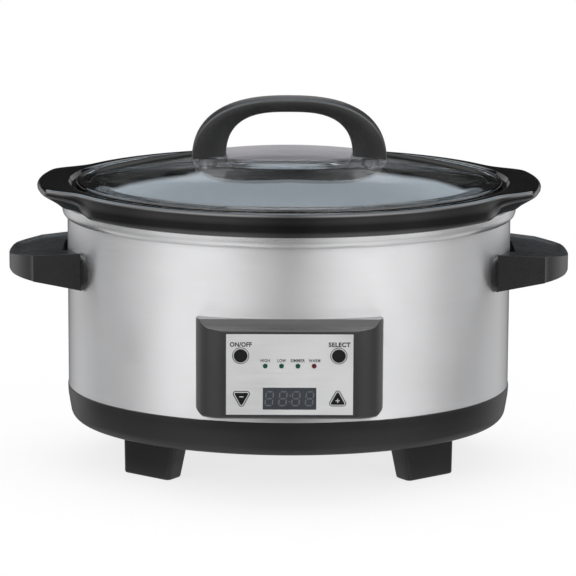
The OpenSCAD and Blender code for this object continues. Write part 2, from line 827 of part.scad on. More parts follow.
module handle_gaskets() {
  color([0.1, 0.1, 0.1]) mirrored_x() difference() {
    translate([0, 10.5, 0]) rotate([90, 0, 0]) linear_extrude(21) intersection() {
      polygon(concat(
        [[leg_x - 11.5, glass_under_leg(0)[0][1]], [leg_x - 11.5, glass_under_leg(1)[0][1]]],
        glass_under_leg(1), [for (i = [4:-1:0]) glass_under_leg(0)[i]]
      ));
      translate([leg_x - 15, 200]) square([26.5, 60]);
    }
    post(leg_x, 0, 3, 220, 262);
  }
}

module lid_washers() {
  color([0.5, 0.5, 0.52]) mirrored_x() difference() {
    post(leg_x, 0, 6.8, washer_z, washer_z + 3.6);
    post(leg_x, 0, 2.1, 220, 252);
  }
}

module lid_screws() {
  color([0.74, 0.74, 0.75]) mirrored_x() {
    post(leg_x, 0, 4.4, washer_z - 2.8, washer_z);
    post(leg_x, 0, 2, washer_z, 250);
  }
}

outer_shell();
collar_ring();
liner_pot();
heat_shield();
heat_band();
heater_straps();
strap_screws();
base_pan();
feet();
foot_screws();
foot_pads();
liner_brackets();
floor_deflector();
base_screws();
side_handle_left();
side_handle_right();
handle_plates();
handle_screws();
panel_bezel();
panel_screws();
faceplate();
button_trims();
onoff_button();
select_button();
minus_button();
plus_button();
display_window();
display_module();
led_lenses_green();
led_lens_red();
led_lamps();
control_board();
control_parts();
tact_switches();
board_screws();
ribbon_cable();
power_board();
power_parts();
power_screws();
terminal_block();
temp_sensor();
thermal_fuse();
leads();
cord_gland();
stoneware_crock();
lid_glass();
lid_handle();
handle_gaskets();
lid_washers();
lid_screws();
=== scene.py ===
"""An oval slow cooker in brushed steel, black plastic, black stoneware and glass."""
import math

import bmesh
import bpy
from mathutils import Matrix, Vector


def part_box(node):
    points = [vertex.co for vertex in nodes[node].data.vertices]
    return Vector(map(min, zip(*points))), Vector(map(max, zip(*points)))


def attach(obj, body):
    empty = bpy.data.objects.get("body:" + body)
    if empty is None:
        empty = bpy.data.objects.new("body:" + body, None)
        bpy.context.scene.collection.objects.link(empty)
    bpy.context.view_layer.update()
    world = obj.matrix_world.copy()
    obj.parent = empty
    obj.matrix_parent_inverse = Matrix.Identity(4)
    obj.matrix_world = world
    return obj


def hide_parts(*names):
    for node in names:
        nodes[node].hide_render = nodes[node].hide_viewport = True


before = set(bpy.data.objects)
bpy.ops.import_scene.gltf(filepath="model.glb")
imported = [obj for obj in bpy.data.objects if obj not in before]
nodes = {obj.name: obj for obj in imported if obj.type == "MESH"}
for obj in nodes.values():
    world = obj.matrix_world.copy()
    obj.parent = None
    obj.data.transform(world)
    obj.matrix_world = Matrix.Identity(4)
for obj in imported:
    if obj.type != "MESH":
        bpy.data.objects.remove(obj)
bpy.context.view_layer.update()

# ---------------------------------------------------------------- camera
# A long lens straight in front of the cooker and a little above it, turned a touch to its left,
# so that the rim shows as a flat oval and the panel faces the viewer.
aim = Vector((-0.0005, 0, 0.1295))
height_angle = math.radians(12.31)
side_angle = math.radians(0.4)
roll = math.radians(0.27)
distance = 2.844
back = Vector((
    -math.sin(side_angle) * math.cos(height_angle),
    -math.cos(side_angle) * math.cos(height_angle),
    math.sin(height_angle),
))


def put(name, data):
    """A new object in the scene that shows a mesh, or holds a lamp or a lens."""
    thing = bpy.data.objects.new(name, data)
    bpy.context.collection.objects.link(thing)
    return thing


lens = bpy.data.cameras.new("camera")
lens.lens = 235.8
lens.sensor_width = 36
lens.clip_end = 20
camera = put("camera", lens)
camera.matrix_world = (
    Matrix.Translation(aim + distance * back)
    @ (-back).to_track_quat("-Z", "Y").to_matrix().to_4x4()
    @ Matrix.Rotation(roll, 4, "Z")
)
bpy.context.scene.camera = camera

# ---------------------------------------------------------------- wall
# The oval wall is one strip of thin stainless steel, bent round and welded into a closed band. Its
# brushing runs level round the body. The base holds its lower edge and the collar its upper one.
MM = 0.001
HALF_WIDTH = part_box("outer_shell")[1][0]
HALF_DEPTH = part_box("outer_shell")[1][1]
SEAM_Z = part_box("outer_shell")[0][2]
COLLAR_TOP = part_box("collar_ring")[1][2]


def oval(angle, out):
    """The point whose outward normal is at angle on the body's oval, moved outwards by out."""
    c, s = math.cos(angle), math.sin(angle)
    reach = math.hypot(HALF_WIDTH * c, HALF_DEPTH * s)
    return HALF_WIDTH ** 2 * c / reach + out * c, HALF_DEPTH ** 2 * s / reach + out * s


def clean_mesh(name, verts, faces):
    """A mesh with its doubled points joined and its faces turned outwards."""
    mesh = bpy.data.meshes.new(name)
    mesh.from_pydata(verts, [], faces)
    work = bmesh.new()
    work.from_mesh(mesh)
    bmesh.ops.remove_doubles(work, verts=work.verts, dist=1e-6)
    bmesh.ops.recalc_face_normals(work, faces=work.faces)
    work.to_mesh(mesh)
    work.free()
    return mesh


def piece(name, verts, faces, body, stands_for, slot, look, crease=32):
    """A finished mesh piece: shaded smooth but for edges sharper than crease degrees."""
    mesh = clean_mesh(name, verts, faces)
    mesh.shade_smooth()
    mesh.set_sharp_from_angle(angle=math.radians(crease))
    thing = put(name, mesh)
    mesh.materials.append(look)
    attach(thing, body)
    if stands_for:
        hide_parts(*stands_for)
    return thing


def loft(rings, closed_rings=True, closed_path=False, ends=True):
    """Points and faces of a skin through rings of equal length."""
    count = len(rings[0])
    verts = [p for ring in rings for p in ring]
    faces = []
    for i in range(len(rings) if closed_path else len(rings) - 1):
        a, b = i * count, (i + 1) % len(rings) * count
        for j in range(count if closed_rings else count - 1):
            k = (j + 1) % count
            faces.append((a + j, a + k, b + k, b + j))
    if ends and not closed_path:
        faces.append(tuple(range(count))[::-1])
        faces.append(tuple(range((len(rings) - 1) * count, len(rings) * count)))
    return verts, faces


def swept(section, steps=240, capped=False):
    """Points and faces of a section of (out, height) in mm, swept round the body's oval.

    section may also be a function of the angle. A capped one is open and filled across at both ends.
    """
    angles = [2 * math.pi * k / steps for k in range(steps)]
    lines = [section(angle) if callable(section) else section for angle in angles]
    rings = [
        [(*oval(angle, line[i][0] * MM), line[i][1] * MM) for angle, line in zip(angles, lines)]
        for i in range(len(lines[0]))
    ]
    return loft(rings, closed_path=not capped, ends=capped)


def add(tree, kind, inputs=None, **settings):
    """A new shader node. An input is a value, or another node's output to link."""
    node = tree.nodes.new("ShaderNode" + kind)
    for key, value in settings.items():
        setattr(node, key, value)
    for key, value in (inputs or {}).items():
        if isinstance(value, bpy.types.NodeSocket):
            tree.links.new(value, node.inputs[key])
        else:
            node.inputs[key].default_value = value
    return node


def new_look(name, **values):
    """A material with its node tree and main shader, whose plain values are set here."""
    look = bpy.data.materials.new(name)
    look.use_nodes = True
    tree = look.node_tree
    shader = tree.nodes["Principled BSDF"]
    for key, value in values.items():
        shader.inputs[key.replace("_", " ")].default_value = value
    return look, tree, shader


def noise(tree, cell, stretch=(1, 1, 1), detail=2.0):
    """Random grain with cells of that size in mm, along each axis when stretched."""
    scale = [1000 / (cell * s) for s in stretch]
    where = add(tree, "Mapping", {"Vector": add(tree, "TexCoord").outputs["Object"], "Scale": scale})
    grain = add(tree, "TexNoise", {"Vector": where.outputs[0], "Scale": 1.0, "Detail": detail})
    return grain.outputs["Fac"]


def spread(tree, value, low, high, at=(0.3, 0.7)):
    """value, from one level in at to the other, spread over low to high."""
    inputs = {"Value": value, "From Min": at[0], "From Max": at[1], "To Min": low, "To Max": high}
    return add(tree, "MapRange", inputs).outputs["Result"]


def tint(tree, value, dark, light, at=(0.3, 0.7)):
    """A colour between dark and light, as value goes from one level in at to the other."""
    ramp = add(tree, "ValToRGB", {"Fac": value})
    for stop, place, colour in zip(ramp.color_ramp.elements, at, (dark, light)):
        stop.position = place
        stop.color = (*colour, 1)
    return ramp.outputs["Color"]


def brushed(name, grey, rough, anisotropy, along=(40, 40, 0.35), tone=0.03, depth=0.004):
    """Steel or aluminium with fine brush lines, whose grain is stretched by along on each axis."""
    look, tree, shader = new_look(name, Metallic=1.0, Anisotropic=anisotropy, Anisotropic_Rotation=0.25)
    lines = noise(tree, 1, along, 3)
    clouds = noise(tree, 60, (1, 1, 1.5), 2)
    dark = [g * (1 - tone) for g in grey]
    tree.links.new(tint(tree, lines, dark, grey), shader.inputs["Base Color"])
    mixed = add(tree, "Math", {0: lines, 1: clouds}, operation="ADD").outputs[0]
    sheen = spread(tree, mixed, rough * 0.88, rough * 1.14, (0.75, 1.25))
    tree.links.new(sheen, shader.inputs["Roughness"])
    bump = add(tree, "Bump", {"Height": lines, "Strength": 0.5, "Distance": depth * MM})
    tree.links.new(bump.outputs[0], shader.inputs["Normal"])
    around = add(tree, "Tangent", direction_type="RADIAL", axis="Z")
    tree.links.new(around.outputs[0], shader.inputs["Tangent"])
    return look


wall_steel = brushed("wall_steel", (0.72, 0.72, 0.73), 0.35, 0.88)
wall_foot, wall_head = SEAM_Z / MM, COLLAR_TOP / MM - 1
outside, inside = 0.12, -0.58
piece(
    "wall", *swept([(outside, wall_foot), (outside, wall_head), (inside, wall_head), (inside, wall_foot)]),
    "cooker", ["outer_shell"], "brushed_wall", wall_steel,
)

# ---------------------------------------------------------------- collar
# A rolled ring of the same steel caps the wall. It bulges out over a shadow line and turns in
# over the well's flange, where the crock sits on it. It is pressed on before the well goes in.


def bend(cx, cz, r, start, end, steps):
    """Points of an arc in a section, in mm, from start to end degrees."""
    span = [math.radians(start + (end - start) * i / steps) for i in range(steps + 1)]
    return [(cx + r * math.cos(a), cz + r * math.sin(a)) for a in span]


rim = COLLAR_TOP / MM
bulge_out, bulge_half, bulge_z = 4.1, 5.7, rim - 4.9
bulge = [(-0.1, rim - 9.2)]
for i in range(13):
    a = math.radians(-90 + 7.5 * i)
    bulge.append((-0.1 + bulge_out * math.cos(a), bulge_z + bulge_half * math.sin(a)))
turned_in = bend(3, rim - 1, 1, 0, 90, 5) + [(-12.6, rim), (-12.6, rim - 0.8), (-0.1, rim - 1.2)]
collar_steel = brushed("collar_steel", (0.74, 0.74, 0.75), 0.3, 0.8, (40, 40, 0.3))
piece(
    "collar", *swept(bulge + turned_in),
    "cooker", ["collar_ring"], "brushed_collar", collar_steel,
)

# ---------------------------------------------------------------- heating well
# The aluminium pot that the crock stands in, its band heater under a glass-fibre wrap, the straps
# that hold the band, and the bright shield round them. They hang from the wall by the well's flange.


def plain_metal(name, grey, rough, cell=1.6, tone=0.12, depth=0.02):
    """Bare or plated sheet, a little uneven, with softened edges."""
    look, tree, shader = new_look(name, Metallic=1.0)
    grain = noise(tree, cell, (1, 1, 1), 4)
    dark = [g * (1 - tone) for g in grey]
    tree.links.new(tint(tree, grain, dark, grey), shader.inputs["Base Color"])
    tree.links.new(spread(tree, grain, rough * 0.8, rough * 1.25), shader.inputs["Roughness"])
    edge = add(tree, "Bevel", {"Radius": 0.25 * MM}, samples=4)
    inputs = {"Height": grain, "Strength": 0.4, "Distance": depth * MM, "Normal": edge.outputs[0]}
    tree.links.new(add(tree, "Bump", inputs).outputs[0], shader.inputs["Normal"])
    return look


def dress(look, *names):
    """Gives CAD nodes that look."""
    for name in names:
        nodes[name].material_slots[0].material = look


def woven(name, dark, light, thread):
    """Plain-woven glass-fibre cloth."""
    look, tree, shader = new_look(name, Roughness=0.9)
    scale = [1 / (thread * MM)] * 3
    place = add(tree, "Mapping", {"Vector": add(tree, "TexCoord").outputs["Object"], "Scale": scale})
    threads = {"Vector": place.outputs[0], "Scale": 0.32, "Distortion": 0.4}
    over = add(tree, "TexWave", threads, bands_direction="Z").outputs["Fac"]
    under = add(tree, "TexWave", threads, bands_direction="DIAGONAL").outputs["Fac"]
    cloth = add(tree, "Math", {0: over, 1: under}, operation="MULTIPLY").outputs[0]
    tree.links.new(tint(tree, cloth, dark, light, (0.0, 0.8)), shader.inputs["Base Color"])
    bump = add(tree, "Bump", {"Height": cloth, "Strength": 0.8, "Distance": 0.3 * MM})
    tree.links.new(bump.outputs[0], shader.inputs["Normal"])
    return look


strap_steel = plain_metal("strap_steel", (0.58, 0.59, 0.6), 0.38, 6, 0.25)
zinc = plain_metal("zinc_plate", (0.66, 0.66, 0.68), 0.24)
bright_sheet = plain_metal("bright_sheet", (0.74, 0.75, 0.76), 0.2, 3)
dress(plain_metal("well_aluminium", (0.5, 0.51, 0.52), 0.42, 2.5), "liner_pot")
dress(bright_sheet, "heat_shield", "floor_deflector")
dress(woven("band_wrap", (0.55, 0.52, 0.45), (0.86, 0.84, 0.78), 0.8), "heat_band")
dress(strap_steel, "heater_straps", "liner_brackets")
dress(zinc, "strap_screws", "base_screws")

# ---------------------------------------------------------------- base
# The base is one black moulding that closes the body from below. Its low skirt stands just proud
# of the wall and rolls into a flat floor with vent slots. Four long screws hold it to the well.


def moulded(name, colour, rough, cell=0.55, depth=0.02, tone=0.12, edge=0.4, coat=0.0):
    """Moulded plastic with a fine sparked grain and softened edges."""
    look, tree, shader = new_look(name, IOR=1.5, Coat_Weight=coat, Coat_Roughness=0.08)
    grain = noise(tree, cell, (1, 1, 1), 2)
    clouds = noise(tree, 38, (1, 1, 1), 2)
    dark = [c * (1 - tone) for c in colour]
    tree.links.new(tint(tree, clouds, dark, colour), shader.inputs["Base Color"])
    mixed = add(tree, "Math", {0: grain, 1: clouds}, operation="ADD").outputs[0]
    sheen = spread(tree, mixed, rough * 0.9, rough * 1.12, (0.75, 1.25))
    tree.links.new(sheen, shader.inputs["Roughness"])
    inputs = {"Height": grain, "Strength": 0.5, "Distance": depth * MM}
    if edge:
        inputs["Normal"] = add(tree, "Bevel", {"Radius": edge * MM}, samples=4).outputs[0]
    tree.links.new(add(tree, "Bump", inputs).outputs[0], shader.inputs["Normal"])
    return look


def cut(thing, verts, faces):
    """Cuts closed solids out of a piece."""
    tool = put("cutter", clean_mesh("cutter", verts, faces))
    step = thing.modifiers.new("cut", "BOOLEAN")
    step.object = tool
    step.solver = "EXACT"
    bpy.context.view_layer.update()
    done = bpy.data.meshes.new_from_object(thing.evaluated_get(bpy.context.evaluated_depsgraph_get()))
    thing.modifiers.clear()
    thing.data = done
    bpy.data.objects.remove(tool)


def blocks(*spans):
    """Points and faces of boxes, each a pair of opposite corners in mm."""
    sides = ((0, 2, 3, 1), (4, 5, 7, 6), (0, 1, 5, 4), (2, 6, 7, 3), (0, 4, 6, 2), (1, 3, 7, 5))
    verts, faces = [], []
    for low, high in spans:
        n = len(verts)
        for z in (low[2], high[2]):
            for y in (low[1], high[1]):
                verts += [(MM * x, MM * y, MM * z) for x in (low[0], high[0])]
        faces += [tuple(n + i for i in side) for side in sides]
    return verts, faces


base_plastic = moulded("base_plastic", (0.007, 0.007, 0.0073), 0.36, edge=0)
floor_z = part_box("base_pan")[0][2] / MM
seam = SEAM_Z / MM
corner, plastic = 8.8, 2.6
below = [(-70, floor_z), (-20, floor_z)] + bend(-10.4, floor_z + corner, corner, -90, -10, 12)
skirt = [(-0.8, seam - 14), (-0.35, seam - 11), (0.2, seam - 7.7), (0.5, seam - 4), (0.6, seam - 0.9)]
brim = [(0.55, seam - 0.3), (0.3, seam), (-0.2, seam + 0.1), (-0.9, seam + 0.3)]
within = [(-3.4, seam - 8)] + bend(-10.4, floor_z + corner, corner - plastic, 0, -90, 6)
within += [(-70, floor_z + plastic)]
base = piece(
    "base", *swept(below + skirt + brim + within, capped=True),
    "cooker", ["base_pan"], "base_plastic", base_plastic,
)
vents = [
    ((x - 1.5, y - 17, floor_z - 2), (x + 1.5, y + 17, floor_z + 4))
    for x in range(-40, 41, 10) for y in (-52, 62)
]
screw_pockets = [
    ((x - 4, y - 4, floor_z - 2), (x + 4, y + 4, floor_z + 1.2))
    for x in (-75, 75) for y in (-35, 35)
]
cut(base, *blocks(*vents, *screw_pockets))

# ---------------------------------------------------------------- feet
# Four wedge-shaped feet in the same plastic stand across the corners of the oval, each held by one
# screw from below. They narrow downwards along their length, and each has a thin rubber pad.


def rounded_quad(centres, r, z, place, steps=6):
    """A ring round four corner circles in the foot's own axes, put in place at height z, in mm."""
    ring = []
    for (u, v), start in zip(centres, (180, 270, 0, 90)):
        for i in range(steps + 1):
            a = math.radians(start + 90 * i / steps)
            ring.append((*place(u + r * math.cos(a), v + r * math.sin(a)), z * MM))
    return ring


def between(low, high, t):
    """The points t of the way from each of low to its fellow in high."""
    return [(a[0] * (1 - t) + b[0] * t, a[1] * (1 - t) + b[1] * t) for a, b in zip(low, high)]


def foot(side, end):
    """One foot, on the right for side 1 and at the back for end 1."""
    turn = math.radians(37)
    foot_x, foot_y = 91.6, 79.3

    def place(u, v):
        x = foot_x + u * math.cos(turn) - v * math.sin(turn)
        y = foot_y - u * math.sin(turn) - v * math.cos(turn)
        return side * x * MM, end * y * MM

    # centres of the corner rounds, at the bottom and at the top
    low = [(1, 4.5), (36, 4), (36, 14), (1, 13.5)]
    high = [(-5.6, 4), (36.2, 3.6), (36.2, 15), (-5.6, 14.5)]
    round_edge = 4
    rings = []
    for z, inset in ((0.5, 1.6), (0.6, 0.9), (1.1, 0.3), (1.9, 0), (16, 0), (31.4, 0)):
        t = max(0, z - 1.3) / 29.2
        rings.append(rounded_quad(between(low, high, t), round_edge - inset, z, place))
    return loft(rings)


def joined(parts):
    """Several skins as one list of points and faces."""
    verts, faces = [], []
    for v, f in parts:
        faces += [tuple(len(verts) + i for i in face) for face in f]
        verts += v
    return verts, faces


piece(
    "feet", *joined([foot(side, end) for side in (-1, 1) for end in (-1, 1)]),
    "cooker", ["feet"], "base_plastic", base_plastic,
)
dress(moulded("pad_rubber", (0.03, 0.03, 0.03), 0.8, 0.9, 0.05), "foot_pads")
dress(zinc, "foot_screws")

# ---------------------------------------------------------------- side handles
# A hollow moulded grip on each end of the body. Its upper face is dished inside a narrow lip, its
# ends are flat, and a swelling boss at each end meets the wall, where a screw from inside holds it.
handle_plastic = moulded("handle_plastic", (0.016, 0.016, 0.0165), 0.28)
grip_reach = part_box("side_handle_right")[1][0] / MM
grip_half = 53.0
ridge_x = 189.5
grip_root = 153.7
grip_top = 167


def along(table, x):
    """The value at x of a line through (x, value) points."""
    for (x0, v0), (x1, v1) in zip(table, table[1:]):
        if x <= x1:
            return v0 + (v1 - v0) * max(0, x - x0) / (x1 - x0)
    return table[-1][1]


def grip(side, inset=0.0, drop=0.0, start=154.2):
    """The grip's skin. inset and drop make the smaller form that hollows it from below."""
    reach, half, ridge = grip_reach - inset, grip_half - inset, ridge_x - inset
    chord = half - 1.2
    bow = (chord ** 2 + (reach - ridge) ** 2) / (2 * (reach - ridge))
    tip = math.asin(chord / bow)
    stations = [(start + (ridge - 0.4 - start) * t, half) for t in (0, 0.15, 0.4, 0.7, 1)]
    stations += [
        (reach - bow + bow * math.cos(tip * t), bow * math.sin(tip * t))
        for t in (1, 0.93, 0.85, 0.76, 0.66, 0.55, 0.43, 0.3, 0.18, 0.07)
    ]
    # height of the upper and the lower face at each distance from the middle of the body
    upper = [(130, 167), (153.7, 166.4), (189.5, 164.9), (200, 162.6), (206.5, 160.0), (210, 157.6)]
    lower = [(130, 137.6), (153, 138.2), (189.5, 145.2), (206, 145.6), (210, 146.8)]
    tops, bottoms = [], []
    for x, w in stations:
        lip = min(1.6, 0.3 * w)
        slope = min(3.8, 0.5 * w)
        ys = [-w, -w + lip, -w + slope]
        ys += [(-w + slope) * (1 - t) + (w - slope) * t for t in (0.2, 0.4, 0.6, 0.8)]
        ys += [w - slope, w - lip, w]
        depth = 1.5 * min(1, max(0, (grip_reach - 3 - x) / 5))
        row = []
        for i, y in enumerate(ys):
            dish = 0 if i in (0, 1, 8, 9) else depth * (1.0 + 0.35 * (1 - (y / w) ** 2))
            tilt = (0.033 + 0.0009 * (x - 155)) * (y + grip_half)
            plane = grip_top - 0.03 * (x - grip_root) - tilt
            z = min(along(upper, x), plane) - dish * (inset == 0) - drop
            row.append((side * x * MM, y * MM, z * MM))
        tops.append(row)
        low = along(lower, x) - (30 if inset else 0)
        bottoms.append([(side * x * MM, y * MM, low * MM) for y in ys])
    count, wide = len(stations), len(tops[0])
    verts = [p for row in tops + bottoms for p in row]
    under = count * wide
    faces = []
    for i in range(count - 1):
        for j in range(wide - 1):
            a = i * wide + j
            faces.append((a, a + 1, a + wide + 1, a + wide))
            faces.append((under + a, under + a + wide, under + a + wide + 1, under + a + 1))
        for j in (0, wide - 1):
            a = i * wide + j
            faces.append((a, a + wide, under + a + wide, under + a))
    for i in (0, count - 1):
        for j in range(wide - 1):
            a = i * wide + j
            faces.append((a, a + 1, under + a + 1, under + a))
    return verts, faces


def boss(side, end):
    """The swelling between the grip's flat end and the wall, in level sections.

    The nearer a section is to mid height, the further forward it meets the wall.
    """
    root, flat_end = 154.3, 52.8
    mid_z, half_tall = 152.2, 14.2
    wall_x, wall_y = HALF_WIDTH / MM - 0.55, HALF_DEPTH / MM - 0.55
    rings = []
    for k in range(25):
        u = math.sin(math.radians(-90 + 7.5 * k)) * 0.999
        z = mid_z + half_tall * u
        inner = root - 7.2 * math.sqrt(1 - u * u)
        front = wall_y * math.sqrt(1 - (inner / wall_x) ** 2)
        swell = 0.16 * (root - inner)
        middle = ((root + inner) / 2 - swell * 0.5, (flat_end + front) / 2 + swell)
        ring = [(root, flat_end), middle, (inner, front), (inner - 2, front - 5), (149, 38), (root, 38)]
        rings.append([(side * x * MM, end * y * MM, z * MM) for x, y in ring])
    return loft(rings)


def soften(thing, width, segments=3, angle=30):
    """Rounds a piece's sharp edges by width in mm."""
    step = thing.modifiers.new("soften", "BEVEL")
    step.width = width * MM
    step.segments = segments
    step.limit_method = "ANGLE"
    step.angle_limit = math.radians(angle)
    step.harden_normals = True


for side, name in ((-1, "side_handle_left"), (1, "side_handle_right")):
    verts, faces = grip(side)
    body = piece(name + "_grip", verts, faces, "cooker", [name], "handle_plastic", handle_plastic)
    cut(body, *grip(side, 7, 5.5, 176))
    slot_x = side * 161.5
    cut(body, *blocks(((slot_x - 7.5, -27, 120), (slot_x + 7.5, 27, 180))))
    soften(body, 0.8)
    piece(
        name + "_bosses", *joined([boss(side, -1), boss(side, 1)]),
        "cooker", [name], "handle_plastic", handle_plastic, 50,
    )
dress(strap_steel, "handle_plates")
dress(zinc, "handle_screws")

# ---------------------------------------------------------------- control panel
# A moulded housing stands on the front wall, with a hollow along its top edge and its lower
# corners cut off. A brushed aluminium plate is let into its face, behind plated button rings.
bezel_plastic = moulded("bezel_plastic", (0.026, 0.026, 0.027), 0.34, 0.5, 0.012, edge=0.45, coat=0.35)
plate_metal = brushed("plate_metal", (0.78, 0.78, 0.785), 0.45, 0.5, (30, 30, 0.22), 0.05, 0.006)
trim_metal = moulded("trim_silver", (0.66, 0.66, 0.665), 0.4, 0.4, 0.004, 0.05, 0.12)
button_plastic = moulded("button_plastic", (0.006, 0.006, 0.007), 0.25, 0.5, 0.008, edge=0.5, coat=0.3)
dress(bezel_plastic, "panel_bezel")
dress(plate_metal, "faceplate")
dress(trim_metal, "button_trims")
dress(button_plastic, "onoff_button", "select_button", "minus_button", "plus_button")
dress(zinc, "panel_screws")

# ---------------------------------------------------------------- display and lamps
# A smoked window covers the clock display, whose unlit figures just show. Three green lamps and
# a red one stand through the plate, and their moulded lenses are clipped to the board behind.
window_look, tree, shader = new_look("smoked_window", Roughness=0.16, IOR=1.5)
haze = noise(tree, 12, (1, 1, 1), 2)
tree.links.new(tint(tree, haze, (0.036, 0.04, 0.046), (0.044, 0.049, 0.056)), shader.inputs["Base Color"])
dress(window_look, "display_window")


def lens_look(name, dark, light):
    """Tinted clear plastic over an unlit lamp."""
    look, tree, shader = new_look(
        name, Roughness=0.18, IOR=1.49, Subsurface_Weight=0.2, Subsurface_Scale=0.001,
    )
    depth = noise(tree, 1.4, (1, 1, 1), 1)
    tree.links.new(tint(tree, depth, dark, light), shader.inputs["Base Color"])
    tree.links.new(add(tree, "Bevel", {"Radius": 0.5 * MM}, samples=4).outputs[0], shader.inputs["Normal"])
    return look


dress(lens_look("lens_green", (0.005, 0.05, 0.03), (0.012, 0.085, 0.055)), "led_lenses_green")
dress(lens_look("lens_red", (0.075, 0.008, 0.012), (0.12, 0.016, 0.02)), "led_lens_red")
dress(lens_look("lamp_clear", (0.7, 0.7, 0.6), (0.85, 0.85, 0.76)), "led_lamps")

face_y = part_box("faceplate")[0][1] / MM
ghost_look, tree, shader = new_look("unlit_segments", Roughness=0.3)
unlit = tint(tree, noise(tree, 5), (0.09, 0.098, 0.108), (0.11, 0.118, 0.128))
tree.links.new(unlit, shader.inputs["Base Color"])


def figure(x, z, wide=5.2, tall=10.2, thick=0.95):
    """The seven bars of one unlit figure, leaning a little to the right, as thin plates."""
    lean = 0.1
    half_w, half_h = wide / 2, tall / 2
    bars = []
    for level in (-1, 0, 1):
        bars.append([(-half_w + 0.5, level * half_h), (half_w - 0.5, level * half_h)])
    for side in (-1, 1):
        for level in (-1, 0):
            foot_z = level * half_h
            bars.append([(side * half_w, foot_z + 0.5), (side * half_w, foot_z + half_h - 0.5)])
    parts = []
    for (x0, z0), (x1, z1) in bars:
        length = math.hypot(x1 - x0, z1 - z0)
        ux, uz = (x1 - x0) / length, (z1 - z0) / length
        t = thick / 2
        flat = [(0, 0), (t, t), (length - t, t), (length, 0), (length - t, -t), (t, -t)]
        ring = [(x0 + a * ux - b * uz, z0 + a * uz + b * ux) for a, b in flat]
        parts.append(loft([
            [((x + px + lean * pz) * MM, y * MM, (z + pz) * MM) for px, pz in ring]
            for y in (face_y - 0.03, face_y + 0.02)
        ]))
    return parts


def middle(node):
    """The middle of a CAD node's box, in mm."""
    low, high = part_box(node)
    return [(a + b) / 2 / MM for a, b in zip(low, high)]


window_z = middle("display_window")[2]
digits = [bar for x in (-14.6, -4.8, 4.6, 14.4) for bar in figure(x, window_z)]
for z in (-2.2, 2.2):
    one = (-0.25 + 0.1 * z, face_y - 0.03, window_z + z - 0.5)
    other = (0.75 + 0.1 * z, face_y + 0.02, window_z + z + 0.5)
    digits.append(blocks((one, other)))
piece("unlit_figures", *joined(digits), "cooker", [], "smoked_window", ghost_look)

# ---------------------------------------------------------------- lettering
# Plain black function names are screen-printed on the plate above the buttons and lamps. A thin
# black ring round each button is painted shade, standing for the shadow in the gap round its trim.
# The two arrow buttons have a pale minus and plus.
# This black is the ink of the printed names and also the painted shade of the rings round the buttons.
print_and_shade_black, tree, shader = new_look("print_and_painted_shade", Roughness=0.55)
black = tint(tree, noise(tree, 0.5), (0.008, 0.008, 0.008), (0.02, 0.02, 0.02))
tree.links.new(black, shader.inputs["Base Color"])
pale_ink, tree, shader = new_look("print_pale", Roughness=0.5)
pale = tint(tree, noise(tree, 0.5), (0.5, 0.5, 0.5), (0.6, 0.6, 0.6))
tree.links.new(pale, shader.inputs["Base Color"])


def printed(words, x, z, wide, tall, weight=0.042):
    """Words printed on the plate, centred on x and z, to that width and height in mm."""
    curve = bpy.data.curves.new(words, "FONT")
    curve.body = words
    curve.offset = weight
    curve.space_character = 1.08
    flat = put(words, curve)
    bpy.context.view_layer.update()
    mesh = bpy.data.meshes.new_from_object(flat.evaluated_get(bpy.context.evaluated_depsgraph_get()))
    bpy.data.objects.remove(flat)
    xs = [v.co.x for v in mesh.vertices]
    ys = [v.co.y for v in mesh.vertices]
    for v in mesh.vertices:
        px = (v.co.x - min(xs)) / (max(xs) - min(xs)) - 0.5
        pz = (v.co.y - min(ys)) / (max(ys) - min(ys)) - 0.5
        v.co = ((x + px * wide) * MM, (face_y - 0.02) * MM, (z + pz * tall) * MM)
    name = "print_" + "".join(c for c in words.lower() if c.isalnum())
    thing = put(name, mesh)
    mesh.materials.append(print_and_shade_black)
    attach(thing, "cooker")


large, small = 3.5, 2.4
disc_x, disc_y, disc_z = middle("select_button")
lamp_z = middle("led_lens_red")[2]
printed("ON/OFF", -35.2, disc_z + 8.3, 15.8, large)
printed("SELECT", 35.8, disc_z + 8.3, 15.7, large)
settings = (("HIGH", -17.6, 6.7), ("LOW", -5.7, 6.2), ("SIMMER", 5.8, 10.3), ("WARM", 17.8, 8.4))
for words, x, wide in settings:
    printed(words, x, lamp_z + 4, wide, small, 0.025)


def gap_shade_ring(name, inner, outer):
    """A thin black ring of painted shade on the plate, for the shadow in the gap round a trim, between two
    outlines of equal length, in mm.
    """
    count = len(inner)
    faces = [(k, (k + 1) % count, count + (k + 1) % count, count + k) for k in range(count)]
    verts = [(x * MM, (face_y - 0.02) * MM, z * MM) for x, z in inner + outer]
    piece(name, verts, faces, "cooker", [], "button_black", print_and_shade_black)


def circle(x, z, r):
    """48 points of a circle."""
    return [(x + r * math.cos(math.pi * k / 24), z + r * math.sin(math.pi * k / 24)) for k in range(48)]


def triangle(x, z, r, end):
    """A rounded triangle of the arrow buttons' form, larger than them by r and upright for end 1."""
    points = []
    for k in range(3):
        a = 90 + 120 * k
        cx, cz = 4.7 * math.cos(math.radians(a)), 4.98 * math.sin(math.radians(a))
        points += [(x + end * px, z + end * pz) for px, pz in bend(cx, cz, r, a - 60, a + 60, 8)]
    return points


